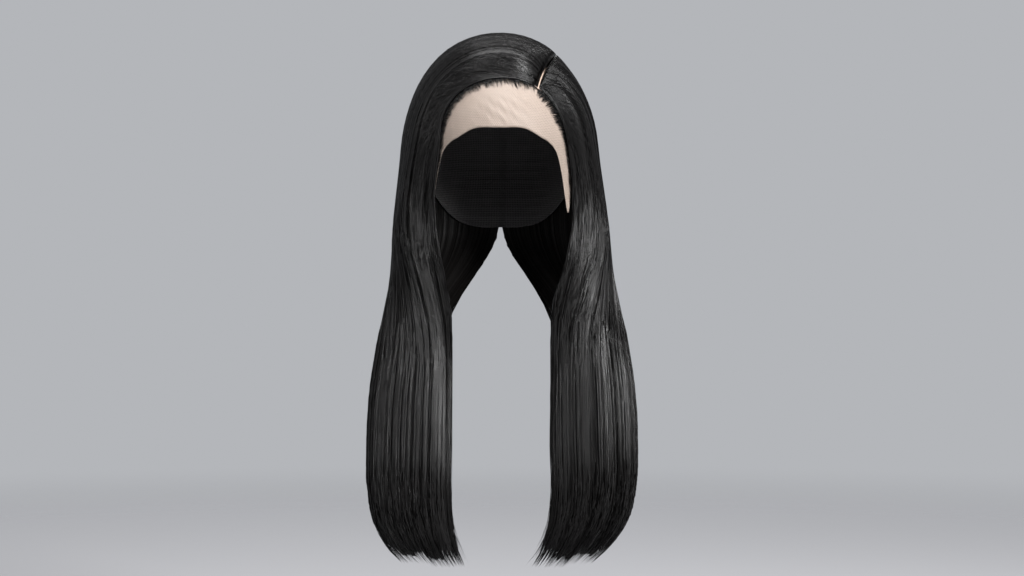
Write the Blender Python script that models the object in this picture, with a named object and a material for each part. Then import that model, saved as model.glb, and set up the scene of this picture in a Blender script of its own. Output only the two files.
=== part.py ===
"""Lace front wig with long straight hair, parted on the wearer's left and brought forward over both shoulders.

Metres, +Z up. The wearer faces -Y and their left is +X. The origin is the crown seat, the highest point of
the head inside the cap. The pieces are the cap, the sheer lace front with its two ear tabs, the strip of
parting lace, and five locks of hair on each side that run from the parting to the hem.
"""

import math

import bmesh
import bpy
import numpy as np

# The head that the cap fits
HEAD_WIDTH = 0.152
HEAD_LENGTH = 0.194
CROWN_HEIGHT = 0.100
NAPE_DEPTH = 0.070
NAPE_TUCK = 0.020

# Cap and lace
CAP_WALL = 0.0015
LACE_WALL = 0.0010
SEAT_GAP = 0.0012
EDGE_GAP = 0.0006
PARTING_LACE_WIDTH = 0.010
PARTING_LACE_LENGTH = 0.105
PARTING_LACE_WALL = 0.0008
PARTING_LACE_GAP = 0.0004

# Hair
PART_WIDTH = 0.0024
LOCK_GAP = 0.0007
LOCK_GROOVE = 0.0022
HAIR_WALL = 0.018
FALL_LENGTH = 0.390
FALL_REACH = 0.125
FALL_FORWARD = 0.110
CORE_HALF_WIDTH = 0.006
CORE_HALF_DEPTH = 0.0035
HAIRLINE_SPAN = 0.13
THIN_EDGE = 0.30
FURROW_DEPTH = 0.82
SEAM_DEPTH = 0.22
FURROW_REACH = 0.016

# Shares of the parting where it closes, and of the drop where the hair leaves the head and has gathered
CLOSING_START = 0.24
CLOSING_SPAN = 0.20
HUG_END = 0.17
GATHER_END = 0.43

# Mesh fineness
CAP_TURNS = 44
CAP_RINGS = 9
LACE_TURNS = 34
LACE_RINGS = 7
LOCK_POINTS = 8
HEAD_STATIONS = (0.0, 0.05, 0.12, 0.21, 0.31, 0.41, 0.51, 0.61, 0.71, 0.81, 0.91)
FALL_STATIONS = (0.0, 0.06, 0.12, 0.18, 0.24, 0.3, 0.36, 0.42, 0.5, 0.6, 0.7, 0.78, 0.85, 0.91, 0.96)


def table(columns, *rows):
    """Rows of figures as named columns. The first column is the one that the others are read by."""
    return dict(zip(columns.split(), np.array(rows, float).T))


# The line that the hair parts on, in plan: shares of half the head's width and of half its length
PARTING = table(
    "along side back",
    (0.00, 0.46, -0.70),
    (0.20, 0.545, -0.38),
    (0.38, 0.590, -0.05),
    (0.55, 0.530, 0.24),
    (0.70, 0.380, 0.47),
    (0.82, 0.210, 0.63),
    (0.92, 0.090, 0.73),
    (1.00, 0.000, 0.80),
)

# Edge of the cap by turn from the brow: level 1 is the head's widest, 2 the nape, and 0 the crown
CAP_EDGE = table(
    "turn level",
    (0, 0.36),
    (25, 0.39),
    (45, 0.50),
    (58, 0.72),
    (68, 0.98),
    (78, 1.10),
    (92, 1.10),
    (106, 1.22),
    (122, 1.60),
    (142, 1.90),
    (165, 2.00),
    (180, 2.00),
)

# Front edge of the lace, down to the point of each ear tab
LACE_EDGE = table(
    "turn level",
    (0, 0.886),
    (20, 0.895),
    (31, 0.942),
    (38, 0.972),
    (43.5, 1.03),
    (47, 1.16),
    (51, 1.41),
    (54, 1.65),
    (58.5, 1.85),
    (61, 1.66),
    (63, 1.40),
    (67, 1.22),
    (72, 1.18),
)

# Thickness of the hair by level on the head, in shares of HAIR_WALL, on the wearer's right and left
ROOF = table(
    "level right left",
    (0.00, 0.66, 0.64),
    (0.20, 0.74, 0.66),
    (0.40, 0.84, 0.72),
    (0.60, 0.86, 0.77),
    (0.80, 0.86, 0.82),
    (1.00, 0.95, 0.88),
)

# How the hair flows from the parting to the head's widest level: the share of the way round the side,
# the place on the parting, and the point that the path bends towards
RIGHT_FLOW = table(
    "round root polar turn pull",
    (0.00, 0.00, 59.0, 50.0, 1.30),
    (0.15, 0.14, 47.0, 58.0, 1.15),
    (0.35, 0.35, 42.0, 84.0, 1.00),
    (0.60, 0.58, 50.0, 120.0, 0.95),
    (0.85, 0.84, 62.0, 150.0, 1.00),
    (1.00, 1.00, 62.0, 172.0, 1.00),
)
LEFT_FLOW = table(
    "round root polar turn pull",
    (0.00, 0.00, 66.0, 46.5, 1.07),
    (0.15, 0.14, 62.0, 70.0, 1.00),
    (0.35, 0.35, 60.0, 96.0, 1.00),
    (0.60, 0.58, 62.0, 127.0, 1.00),
    (0.85, 0.84, 67.0, 160.0, 1.00),
    (1.00, 1.00, 62.0, 188.0, 1.00),
)

# The hair below the head's widest level, by share of FALL_LENGTH. wall is a share of HAIR_WALL. turn is where
# its front edge lies while it still follows the head. The other columns are the section that it falls in:
# those along X are shares of FALL_REACH, and middle and half_depth are shares of FALL_FORWARD.
RIGHT_FALL = table(
    "drop wall turn centre half_width middle half_depth front_edge back_edge",
    (0.00, 0.95, 41.0, 0.500, 0.350, -0.10, 0.52, 0.400, 0.360),
    (0.10, 1.15, 48.5, 0.500, 0.350, -0.10, 0.50, 0.440, 0.370),
    (0.18, 1.38, 48.5, 0.510, 0.345, -0.12, 0.46, 0.400, 0.380),
    (0.27, 1.36, 47.0, 0.530, 0.325, -0.17, 0.40, 0.370, 0.384),
    (0.36, 1.24, 46.0, 0.565, 0.300, -0.28, 0.31, 0.360, 0.400),
    (0.46, 1.17, 46.0, 0.632, 0.292, -0.41, 0.25, 0.354, 0.420),
    (0.59, 1.17, 46.0, 0.664, 0.316, -0.55, 0.21, 0.354, 0.400),
    (0.72, 1.17, 46.0, 0.672, 0.322, -0.66, 0.195, 0.356, 0.400),
    (0.82, 1.17, 46.0, 0.668, 0.316, -0.73, 0.185, 0.360, 0.400),
    (0.90, 1.10, 46.0, 0.640, 0.290, -0.75, 0.165, 0.352, 0.380),
    (0.96, 0.90, 46.0, 0.562, 0.260, -0.745, 0.130, 0.306, 0.340),
    (1.00, 0.60, 46.0, 0.475, 0.226, -0.73, 0.090, 0.252, 0.300),
)
LEFT_FALL = table(
    "drop wall turn centre half_width middle half_depth front_edge back_edge",
    (0.00, 0.88, 54.7, 0.500, 0.350, -0.10, 0.52, 0.540, 0.360),
    (0.10, 1.18, 61.0, 0.500, 0.350, -0.10, 0.50, 0.540, 0.370),
    (0.18, 1.45, 60.0, 0.520, 0.355, -0.12, 0.46, 0.500, 0.380),
    (0.27, 1.50, 56.0, 0.550, 0.345, -0.17, 0.40, 0.440, 0.384),
    (0.36, 1.30, 50.0, 0.595, 0.317, -0.28, 0.31, 0.390, 0.400),
    (0.46, 1.17, 50.0, 0.670, 0.294, -0.41, 0.25, 0.384, 0.420),
    (0.59, 1.17, 50.0, 0.696, 0.322, -0.55, 0.21, 0.380, 0.410),
    (0.72, 1.17, 50.0, 0.702, 0.328, -0.66, 0.195, 0.380, 0.410),
    (0.82, 1.17, 50.0, 0.700, 0.312, -0.73, 0.185, 0.392, 0.410),
    (0.90, 1.10, 50.0, 0.650, 0.288, -0.75, 0.165, 0.372, 0.390),
    (0.96, 0.90, 50.0, 0.545, 0.248, -0.745, 0.130, 0.308, 0.330),
    (1.00, 0.60, 50.0, 0.440, 0.214, -0.73, 0.090, 0.236, 0.260),
)

# Where a place on the way round the head comes to lie on the way round its fall
GATHER = table(
    "head fall",
    (0.00, 0.00),
    (0.15, 0.25),
    (0.32, 0.48),
    (0.55, 0.70),
    (0.80, 0.87),
    (1.00, 1.00),
)

# The locks of one side, from the face round to the nape, and each lock's share of the full length
LOCKS = (
    ("face", 0.00, 0.16, 1.00),
    ("front", 0.16, 0.40, 0.99),
    ("side", 0.40, 0.61, 0.97),
    ("back", 0.61, 0.81, 0.98),
    ("nape", 0.81, 1.00, 0.99),
)

SIDES = {
    "right": {"sign": -1.0, "flow": RIGHT_FLOW, "fall": RIGHT_FALL},
    "left": {"sign": 1.0, "flow": LEFT_FLOW, "fall": LEFT_FALL},
}

HALF_WIDTH = HEAD_WIDTH / 2
HALF_LENGTH = HEAD_LENGTH / 2
HAIR_SEAT = max(CAP_WALL, LACE_WALL) + SEAT_GAP
PARTING_LACE_TOP = CAP_WALL + PARTING_LACE_GAP + PARTING_LACE_WALL
PARTING_LIFT = max(PARTING_LACE_TOP + SEAT_GAP - HAIR_SEAT, 0.0)


def follow(figures, column, at):
    """A column of a table as a smooth curve through its rows: cubic pieces with the neighbours' mean slope."""
    keys = next(iter(figures.values()))
    values = figures[column]
    slopes = np.gradient(values, keys)
    at = np.clip(np.asarray(at, float), keys[0], keys[-1])
    i = np.clip(np.searchsorted(keys, at, side="right") - 1, 0, len(keys) - 2)
    span = keys[i + 1] - keys[i]
    s = (at - keys[i]) / span
    return (
        values[i] * (1 + 2 * s) * (1 - s) ** 2
        + slopes[i] * span * s * (1 - s) ** 2
        + values[i + 1] * s**2 * (3 - 2 * s)
        - slopes[i + 1] * span * s**2 * (1 - s)
    )


def smooth(x):
    """0 below 0, 1 above 1, and an even S curve between."""
    x = np.clip(x, 0.0, 1.0)
    return x * x * (3 - 2 * x)


def direction(polar, turn):
    """The unit direction at a polar angle from the crown and a turn from the brow to the wearer's left."""
    polar, turn = np.broadcast_arrays(polar, turn)
    return np.stack(
        [np.sin(polar) * np.sin(turn), -np.sin(polar) * np.cos(turn), np.cos(polar)], axis=-1
    )


def on_dome(way, lift):
    """The point of the head's upper half in that direction, lifted off the scalp."""
    lift = np.asarray(lift, float)[..., None]
    reach = np.array([HALF_WIDTH, HALF_LENGTH, CROWN_HEIGHT]) + lift
    return way * reach - np.array([0.0, 0.0, CROWN_HEIGHT])


def tuck(drop):
    """How much narrower the back of the head is at a drop below its widest level."""
    return NAPE_TUCK * smooth(drop / NAPE_DEPTH)


def on_head(level, turn, lift):
    """A point of the head form: the dome down to level 1, and the sides and nape down to level 2."""
    level, turn, lift = np.broadcast_arrays(level, turn, np.asarray(lift, float))
    point = on_dome(direction(np.minimum(level, 1.0) * math.pi / 2, turn), lift)
    drop = np.maximum(level - 1.0, 0.0) * NAPE_DEPTH
    behind = smooth(-np.cos(turn))
    point[..., 0] *= 1 - 0.5 * behind * tuck(drop) / HALF_LENGTH
    point[..., 1] *= 1 - behind * tuck(drop) / HALF_LENGTH
    point[..., 2] -= drop
    return point


def parting_way(along):
    """The direction of a place on the parting line."""
    side, back = follow(PARTING, "side", along), follow(PARTING, "back", along)
    return np.stack([side, back, np.sqrt(1 - side**2 - back**2)], axis=-1)


def parting_side(along):
    """The level direction across the parting line, towards the wearer's left."""
    step = 0.01
    ahead = parting_way(np.minimum(along + step, 1.0)) - parting_way(np.maximum(along - step, 0.0))
    across = np.stack([ahead[..., 1], -ahead[..., 0], 0 * ahead[..., 0]], axis=-1)
    return across / np.linalg.norm(across, axis=-1, keepdims=True)


def edge_thinning(round_, back):
    """Share of the wall that is left near the front edge, and near the back edge by the share back."""
    front = THIN_EDGE + (1 - THIN_EDGE) * smooth(round_ / HAIRLINE_SPAN)
    rear = THIN_EDGE + (1 - THIN_EDGE) * smooth((1 - round_) / HAIRLINE_SPAN)
    return front * (1 - back + back * rear)


def turn_round_head(side, round_, drop):
    """The turn of a place round the head, from the front edge of the hair to the middle of the back."""
    first = np.radians(follow(SIDES[side]["fall"], "turn", drop))
    return first + (math.pi - first) * round_


def hair_in_fall(side, round_, drop, outside):
    """A point of the hair below the head's widest level. It follows the head down to the nape, and then
    gathers into the section that it falls in: hug * (point round the head) + (1 - hug) * (point of the section)."""
    fall = SIDES[side]["fall"]
    hug = 1 - smooth((drop - HUG_END) / (GATHER_END - HUG_END))
    wall = HAIR_WALL * follow(fall, "wall", drop)
    lift = HAIR_SEAT + wall * edge_thinning(round_, 0.0) * outside
    round_head = on_head(1 + drop * FALL_LENGTH / NAPE_DEPTH, turn_round_head(side, round_, drop), lift)

    centre, width = FALL_REACH * follow(fall, "centre", drop), FALL_REACH * follow(fall, "half_width", drop)
    middle, depth = FALL_FORWARD * follow(fall, "middle", drop), FALL_FORWARD * follow(fall, "half_depth", drop)
    first = np.arcsin(np.clip((FALL_REACH * follow(fall, "front_edge", drop) - centre) / width, -0.98, 0.98))
    last = np.arcsin(np.clip((FALL_REACH * follow(fall, "back_edge", drop) - centre) / width, -0.98, 0.98))
    gathered = follow(GATHER, "fall", round_)
    angle = first + (math.pi - last - first) * gathered
    thin = edge_thinning(gathered, 1.0) * (not outside)
    width = width - np.minimum(wall, width - CORE_HALF_WIDTH) * thin
    depth = depth - np.minimum(wall, depth - CORE_HALF_DEPTH) * thin
    in_fall = np.stack(
        [centre + width * np.sin(angle), middle - depth * np.cos(angle), -CROWN_HEIGHT - drop * FALL_LENGTH],
        axis=-1,
    )
    return hug[..., None] * round_head + (1 - hug[..., None]) * in_fall


def hair_on_dome(side, round_, way, outside):
    """A point of the hair above the head's widest level: way 0 is the parting, and 1 the widest level."""
    sign = SIDES[side]["sign"]
    flow = SIDES[side]["flow"]
    mirror = np.array([sign, 1.0, 1.0])
    root = follow(flow, "root", round_)
    closed = smooth((root - CLOSING_START) / CLOSING_SPAN)
    half_part = (PART_WIDTH + (LOCK_GAP - PART_WIDTH) * closed) / 2
    begin = parting_way(root) + parting_side(root) * (sign * half_part / HALF_WIDTH)[..., None]
    begin = begin / np.linalg.norm(begin, axis=-1, keepdims=True) * mirror
    bend = direction(np.radians(follow(flow, "polar", round_)), np.radians(follow(flow, "turn", round_)))
    bend = bend * follow(flow, "pull", round_)[..., None]
    end = direction(math.pi / 2, turn_round_head(side, round_, 0.0))
    way = way[..., None]
    path = begin * (1 - way) ** 2 + bend * 2 * way * (1 - way) + end * way**2
    path = path / np.linalg.norm(path, axis=-1, keepdims=True)
    from_root = np.arccos(np.clip((path * begin).sum(-1), -1, 1)) * CROWN_HEIGHT
    raised = 1 - smooth(from_root / PARTING_LACE_WIDTH - 0.7)
    seat = HAIR_SEAT + PARTING_LIFT * raised
    level = np.arccos(np.clip(path[..., 2], 0, 1)) / (math.pi / 2)
    furrow = 1 - (SEAM_DEPTH + (FURROW_DEPTH - SEAM_DEPTH) * (1 - closed)) * np.exp(-from_root / FURROW_REACH)
    wall = HAIR_WALL * follow(ROOF, side, level) * edge_thinning(round_, 0.0) * furrow
    return on_dome(path, seat + wall * outside) * mirror


def hair_point(side, round_, station, outside):
    """A point of the hair: station 0 is the parting, 1 the head's widest level and 2 the hem."""
    round_, station = np.broadcast_arrays(np.asarray(round_, float), np.asarray(station, float))
    mirror = np.array([SIDES[side]["sign"], 1.0, 1.0])
    upper = hair_on_dome(side, round_, np.clip(station, 0, 1), outside)
    lower = hair_in_fall(side, round_, np.clip(station - 1, 0, 1), outside) * mirror
    return np.where((station < 1)[..., None], upper, lower)


def lock_face(side, first, last, length, outside):
    """One face of a lock as a grid: stations from the parting to the tip by points across the lock.
    Its two sides stand half a lock gap inside their lines, and its middle stands out of the grooves."""
    stations = np.concatenate([HEAD_STATIONS, 1 + np.array(FALL_STATIONS), [1 + length]])[:, None]
    share = np.linspace(0, 1, LOCK_POINTS)[None, :]
    step = 0.002
    bounds = []
    for line, inward in ((first, 1.0), (last, -1.0)):
        here = hair_point(side, line, stations, outside)
        flow = np.gradient(here, axis=0)
        flow = flow / np.linalg.norm(flow, axis=-1, keepdims=True)
        apart = hair_point(side, line + inward * step, stations, outside) - here
        apart = apart - flow * (apart * flow).sum(-1, keepdims=True)
        speed = np.linalg.norm(apart, axis=-1) / step
        bounds.append(line + inward * np.minimum((LOCK_GAP / 2) / speed, 0.3 * (last - first)))
    across = bounds[0] + (bounds[1] - bounds[0]) * share
    points = hair_point(side, across, stations, outside)
    if outside:
        core = hair_point(side, across, stations, False)
        away = points - core
        wall = np.linalg.norm(away, axis=-1, keepdims=True)
        groove = np.minimum(LOCK_GROOVE * np.abs(2 * share[..., None] - 1) ** 3, 0.35 * wall)
        points = points - away / wall * groove
    return points


def material(name, colour, roughness):
    """A Principled material of one colour."""
    made = bpy.data.materials.new(name)
    made.use_nodes = True
    shader = made.node_tree.nodes["Principled BSDF"]
    shader.inputs["Base Color"].default_value = (*colour, 1.0)
    shader.inputs["Roughness"].default_value = roughness
    shader.inputs["Metallic"].default_value = 0.0
    return made


def new_object(name, points, faces, finish):
    """A mesh object in the scene, shaded smooth. Its quads are split on their short diagonals, so that the
    two faces of a thin wall are split alike."""
    mesh = bpy.data.meshes.new(name)
    mesh.from_pydata([tuple(p) for p in points], [], faces)
    split = bmesh.new()
    split.from_mesh(mesh)
    bmesh.ops.triangulate(split, faces=split.faces[:], quad_method="SHORT_EDGE")
    split.to_mesh(mesh)
    split.free()
    mesh.shade_smooth()
    mesh.materials.append(finish)
    made = bpy.data.objects.new(name, mesh)
    bpy.context.scene.collection.objects.link(made)
    return made


def grid_faces(rows, columns, start=0):
    """Quads between neighbouring points of a grid that is stored row by row."""
    return [
        (start + r * columns + c, start + r * columns + c + 1, start + (r + 1) * columns + c + 1, start + (r + 1) * columns + c)
        for r in range(rows - 1)
        for c in range(columns - 1)
    ]


def close_between(outer, inner, turned):
    """Points and faces of the solid between an outer and an inner grid of the same shape.
    The rim is split from outer to inner the same way on both sides, so that neighbours lie evenly apart."""
    rows, columns = outer.shape[:2]
    count = rows * columns
    points = np.concatenate([outer.reshape(-1, 3), inner.reshape(-1, 3)])
    faces = grid_faces(rows, columns)
    faces += [tuple(reversed(face)) for face in grid_faces(rows, columns, count)]
    rim = [c for c in range(columns)]
    rim += [r * columns + columns - 1 for r in range(1, rows)]
    rim += [(rows - 1) * columns + c for c in range(columns - 2, -1, -1)]
    rim += [r * columns for r in range(rows - 2, 0, -1)]
    for a, b in zip(rim, rim[1:] + rim[:1]):
        if a < b:
            faces += [(b, a, b + count), (a, a + count, b + count)]
        else:
            faces += [(b, a, a + count), (b, a + count, b + count)]
    if turned:
        faces = [tuple(reversed(face)) for face in faces]
    return points, faces


def make_lock(side, name, first, last, length, finish):
    """One lock of hair, from the parting or the crown to its tip."""
    outer = lock_face(side, first, last, length, True)
    inner = lock_face(side, first, last, length, False)
    points, faces = close_between(outer, inner, SIDES[side]["sign"] > 0)
    return new_object(f"hair_{side}_{name}", points, faces, finish)


def make_cap(finish):
    """The cap: a dome from the lace seam over the crown to the nape, cut up over the ears."""
    turns = np.linspace(-math.pi, math.pi, CAP_TURNS, endpoint=False)
    edge = follow(CAP_EDGE, "level", np.degrees(np.abs(turns)))
    share = np.linspace(0.04, 1, CAP_RINGS)[:, None]
    faces = []
    layers = []
    for lift in (CAP_WALL, 0.0):
        layers.append(on_head(share * edge, turns, lift).reshape(-1, 3))
    count = CAP_RINGS * CAP_TURNS
    for r in range(CAP_RINGS - 1):
        for c in range(CAP_TURNS):
            n = (c + 1) % CAP_TURNS
            a, b = r * CAP_TURNS + c, r * CAP_TURNS + n
            faces.append((a, a + CAP_TURNS, b + CAP_TURNS, b))
            faces.append((b + count, b + count + CAP_TURNS, a + count + CAP_TURNS, a + count))
    last = count - CAP_TURNS
    for c in range(CAP_TURNS):
        n = (c + 1) % CAP_TURNS
        faces.append((last + c, last + count + c, last + count + n, last + n))
    faces.append(tuple(range(CAP_TURNS)))
    faces.append(tuple(count + c for c in reversed(range(CAP_TURNS))))
    return new_object("cap", np.concatenate(layers), faces, finish)


def make_lace_front(finish):
    """The lace front: from the seam with the cap, over the brow, down to the point of each ear tab."""
    fine = np.linspace(0, LACE_EDGE["turn"][-1], 200)
    along = on_head(follow(LACE_EDGE, "level", fine), np.radians(fine), 0.0)
    length = np.concatenate([[0], np.cumsum(np.linalg.norm(np.diff(along, axis=0), axis=1))])
    half = np.interp(np.linspace(0, length[-1], LACE_TURNS // 2 + 1), length, fine)
    degrees = np.concatenate([half[:0:-1], half])
    turns = np.radians(np.concatenate([-half[:0:-1], half]))
    seam = follow(CAP_EDGE, "level", degrees) + EDGE_GAP / CROWN_HEIGHT * 2 / math.pi
    steep = np.abs(np.gradient(seam * CROWN_HEIGHT * math.pi / 2, turns * HALF_WIDTH))
    seam = seam + (np.sqrt(1 + steep**2) - 1) * EDGE_GAP / CROWN_HEIGHT
    edge = follow(LACE_EDGE, "level", degrees)
    share = np.linspace(0, 1, LACE_RINGS)[:, None]
    level = seam + (edge - seam) * share
    outer = on_head(level, turns[None, :], LACE_WALL)
    inner = on_head(level, turns[None, :], 0.0)
    points, faces = close_between(outer, inner, True)
    return new_object("lace_front", points, faces, finish)


def make_parting_lace(finish):
    """The strip of lace that shows along the parting, laid on the cap."""
    along = np.linspace(0.0, 1.0, 60)
    walked = on_dome(parting_way(along), CAP_WALL)
    length = np.concatenate([[0], np.cumsum(np.linalg.norm(np.diff(walked, axis=0), axis=1))])
    along = np.interp(np.linspace(0.0, PARTING_LACE_LENGTH, 14), length, along)[:, None]
    across = np.linspace(-0.5, 0.5, 5)[None, :] * PARTING_LACE_WIDTH
    way = parting_way(along) + parting_side(along) * (across / HALF_WIDTH)[..., None]
    way = way / np.linalg.norm(way, axis=-1, keepdims=True)
    outer = on_dome(way, np.full(across.shape, PARTING_LACE_TOP))
    inner = on_dome(way, np.full(across.shape, PARTING_LACE_TOP - PARTING_LACE_WALL))
    points, faces = close_between(outer, inner, False)
    return new_object("parting_lace", points, faces, finish)


def main():
    for old in list(bpy.data.objects):
        bpy.data.objects.remove(old)
    hair = material("black_hair", (0.012, 0.011, 0.012), 0.35)
    net = material("cap_net", (0.02, 0.018, 0.018), 0.8)
    lace = material("skin_lace", (0.62, 0.46, 0.37), 0.7)
    make_cap(net)
    make_lace_front(lace)
    make_parting_lace(lace)
    for side in SIDES:
        for name, first, last, length in LOCKS:
            make_lock(side, name, first, last, length, hair)


main()
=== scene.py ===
"""Lace front wig: long straight black hair, parted on the wearer's left and brought forward.

Metres, +Z up. The wearer faces -Y and their left is +X. The origin is the crown seat, the highest point of
the form inside the cap. A place on the hair has two parameters: round, from the front edge of a side to the
middle of its back, and station, which is 0 at the parting, 1 at the form's widest level and 2 at the hem.
"""

import functools
import math

import bpy
import numpy as np
from bpy.props import FloatProperty, FloatVectorProperty, IntProperty, PointerProperty
from mathutils import Matrix, Vector


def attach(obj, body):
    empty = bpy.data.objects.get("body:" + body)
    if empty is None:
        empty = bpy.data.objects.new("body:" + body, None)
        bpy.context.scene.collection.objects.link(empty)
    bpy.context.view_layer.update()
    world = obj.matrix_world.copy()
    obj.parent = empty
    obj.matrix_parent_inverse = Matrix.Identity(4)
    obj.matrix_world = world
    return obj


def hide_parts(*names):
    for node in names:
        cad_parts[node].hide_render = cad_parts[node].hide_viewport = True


bl_info = {
    "name": "Lace front wig",
    "version": (1, 0, 0),
    "blender": (4, 5, 0),
    "location": "View3D > Sidebar > Wig",
    "description": "Builds the cap, the lace and the hair of a long straight wig",
    "category": "Object",
}

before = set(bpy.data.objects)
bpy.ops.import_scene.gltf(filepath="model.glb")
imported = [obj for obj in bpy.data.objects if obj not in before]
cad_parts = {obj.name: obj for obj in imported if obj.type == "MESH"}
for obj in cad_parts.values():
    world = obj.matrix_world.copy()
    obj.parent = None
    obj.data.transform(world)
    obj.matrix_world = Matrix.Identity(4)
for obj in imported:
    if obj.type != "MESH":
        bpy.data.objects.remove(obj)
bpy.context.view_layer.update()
MM = 0.001
BODY = "root"

# The form that the cap fits
HALF_WIDTH = 76 * MM
HALF_LENGTH = 97 * MM
CROWN_HEIGHT = 100 * MM
NAPE_DEPTH = 70 * MM
NAPE_TUCK = 20 * MM

# Cap, lace and hair
CAP_WALL = 1.5 * MM
EDGE_GAP = 0.6 * MM
HAIR_SEAT = 2.7 * MM
PARTING_LACE_WIDTH = 10 * MM
PARTING_LACE_LENGTH = 105 * MM
PARTING_LACE_TOP = 2.7 * MM
# How far the hair is lifted over the parting's lace, which is less than in the solids
PARTING_LIFT = 0.1 * MM
HAIR_WALL = 18 * MM
FALL_LENGTH = 390 * MM
FALL_REACH = 125 * MM
FALL_FORWARD = 110 * MM
CORE_HALF_WIDTH = 6 * MM
CORE_HALF_DEPTH = 3.5 * MM
HAIRLINE_SPAN = 0.13
HUG_END = 0.17
GATHER_END = 0.43

# The parting, its furrow and the seam behind it. Here the slot is narrower, the furrow deeper and wider and
# the seam shallower than in the solids. The spans are shares of the parting's length: the slot closes over
# one, and the furrow fills up over the other.
PART_WIDTH = 1.3 * MM
CLOSING_START = 0.24
CLOSING_SPAN = 0.10
CLOSED_SHARE = 0.95
FILLING_START = 0.08
FILLING_SPAN = 0.24
FURROW_REACH = 18 * MM
FURROW_DEPTH = 0.94
SEAM_DEPTH = 0.03
ROOF_BLEND = 14 * MM

# Share of the hair's wall that is left at its very edge, which is less than in the solids
THIN_EDGE = 0.05


def table(columns, *rows):
    """Rows of figures as named columns. The first column is the one that the others are read by."""
    return dict(zip(columns.split(), np.array(rows, float).T))


# The line that the hair parts on, in plan: shares of half the form's width and of half its length
PARTING = table(
    "along side back",
    (0.00, 0.46, -0.70),
    (0.20, 0.545, -0.38),
    (0.38, 0.590, -0.05),
    (0.55, 0.530, 0.24),
    (0.70, 0.380, 0.47),
    (0.82, 0.210, 0.63),
    (0.92, 0.090, 0.73),
    (1.00, 0.000, 0.80),
)

# Edge of the cap by turn from the brow: level 1 is the form's widest, 2 the nape, and 0 the crown
CAP_EDGE = table(
    "turn level",
    (0, 0.36),
    (25, 0.39),
    (45, 0.50),
    (58, 0.72),
    (68, 0.98),
    (78, 1.10),
    (92, 1.10),
    (106, 1.22),
    (122, 1.60),
    (142, 1.90),
    (165, 2.00),
    (180, 2.00),
)

# Front edge of the lace, down to the point of each ear tab
LACE_EDGE = table(
    "turn level",
    (0, 0.886),
    (20, 0.895),
    (31, 0.942),
    (38, 0.972),
    (43.5, 1.03),
    (47, 1.16),
    (51, 1.41),
    (54, 1.65),
    (58.5, 1.85),
    (61, 1.66),
    (63, 1.40),
    (67, 1.22),
    (72, 1.18),
)

# Thickness of the hair by level on the form, in shares of HAIR_WALL, on the wearer's right and left
ROOF = table(
    "level right left",
    (0.00, 0.66, 0.64),
    (0.20, 0.74, 0.66),
    (0.40, 0.84, 0.72),
    (0.60, 0.86, 0.77),
    (0.80, 0.86, 0.82),
    (1.00, 0.95, 0.88),
)

# How the hair flows from the parting to the form's widest level
RIGHT_FLOW = table(
    "round root polar turn pull",
    (0.00, 0.00, 59.0, 50.0, 1.30),
    (0.15, 0.14, 47.0, 58.0, 1.15),
    (0.35, 0.35, 42.0, 84.0, 1.00),
    (0.60, 0.58, 50.0, 120.0, 0.95),
    (0.85, 0.84, 62.0, 150.0, 1.00),
    (1.00, 1.00, 62.0, 172.0, 1.00),
)
LEFT_FLOW = table(
    "round root polar turn pull",
    (0.00, 0.00, 66.0, 46.5, 1.07),
    (0.15, 0.14, 62.0, 70.0, 1.00),
    (0.35, 0.35, 60.0, 96.0, 1.00),
    (0.60, 0.58, 62.0, 127.0, 1.00),
    (0.85, 0.84, 67.0, 160.0, 1.00),
    (1.00, 1.00, 62.0, 188.0, 1.00),
)

# The hair below the form's widest level, by share of FALL_LENGTH, in shares of HAIR_WALL, of FALL_REACH
# (centre, half_width and the edges) and of FALL_FORWARD (middle and half_depth). The right one's first
# three turns stand further back than in the solids.
RIGHT_FALL = table(
    "drop wall turn centre half_width middle half_depth front_edge back_edge",
    (0.00, 0.95, 44.0, 0.500, 0.350, -0.10, 0.52, 0.400, 0.360),
    (0.10, 1.15, 52.0, 0.500, 0.350, -0.10, 0.50, 0.440, 0.370),
    (0.18, 1.38, 50.5, 0.510, 0.345, -0.12, 0.46, 0.400, 0.380),
    (0.27, 1.36, 47.0, 0.530, 0.325, -0.17, 0.40, 0.370, 0.384),
    (0.36, 1.24, 46.0, 0.565, 0.300, -0.28, 0.31, 0.360, 0.400),
    (0.46, 1.17, 46.0, 0.632, 0.292, -0.41, 0.25, 0.354, 0.420),
    (0.59, 1.17, 46.0, 0.664, 0.316, -0.55, 0.21, 0.354, 0.400),
    (0.72, 1.17, 46.0, 0.672, 0.322, -0.66, 0.195, 0.356, 0.400),
    (0.82, 1.17, 46.0, 0.668, 0.316, -0.73, 0.185, 0.360, 0.400),
    (0.90, 1.10, 46.0, 0.640, 0.290, -0.75, 0.165, 0.352, 0.380),
    (0.96, 0.90, 46.0, 0.562, 0.260, -0.745, 0.130, 0.306, 0.340),
    (1.00, 0.60, 46.0, 0.475, 0.226, -0.73, 0.090, 0.252, 0.300),
)
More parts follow.
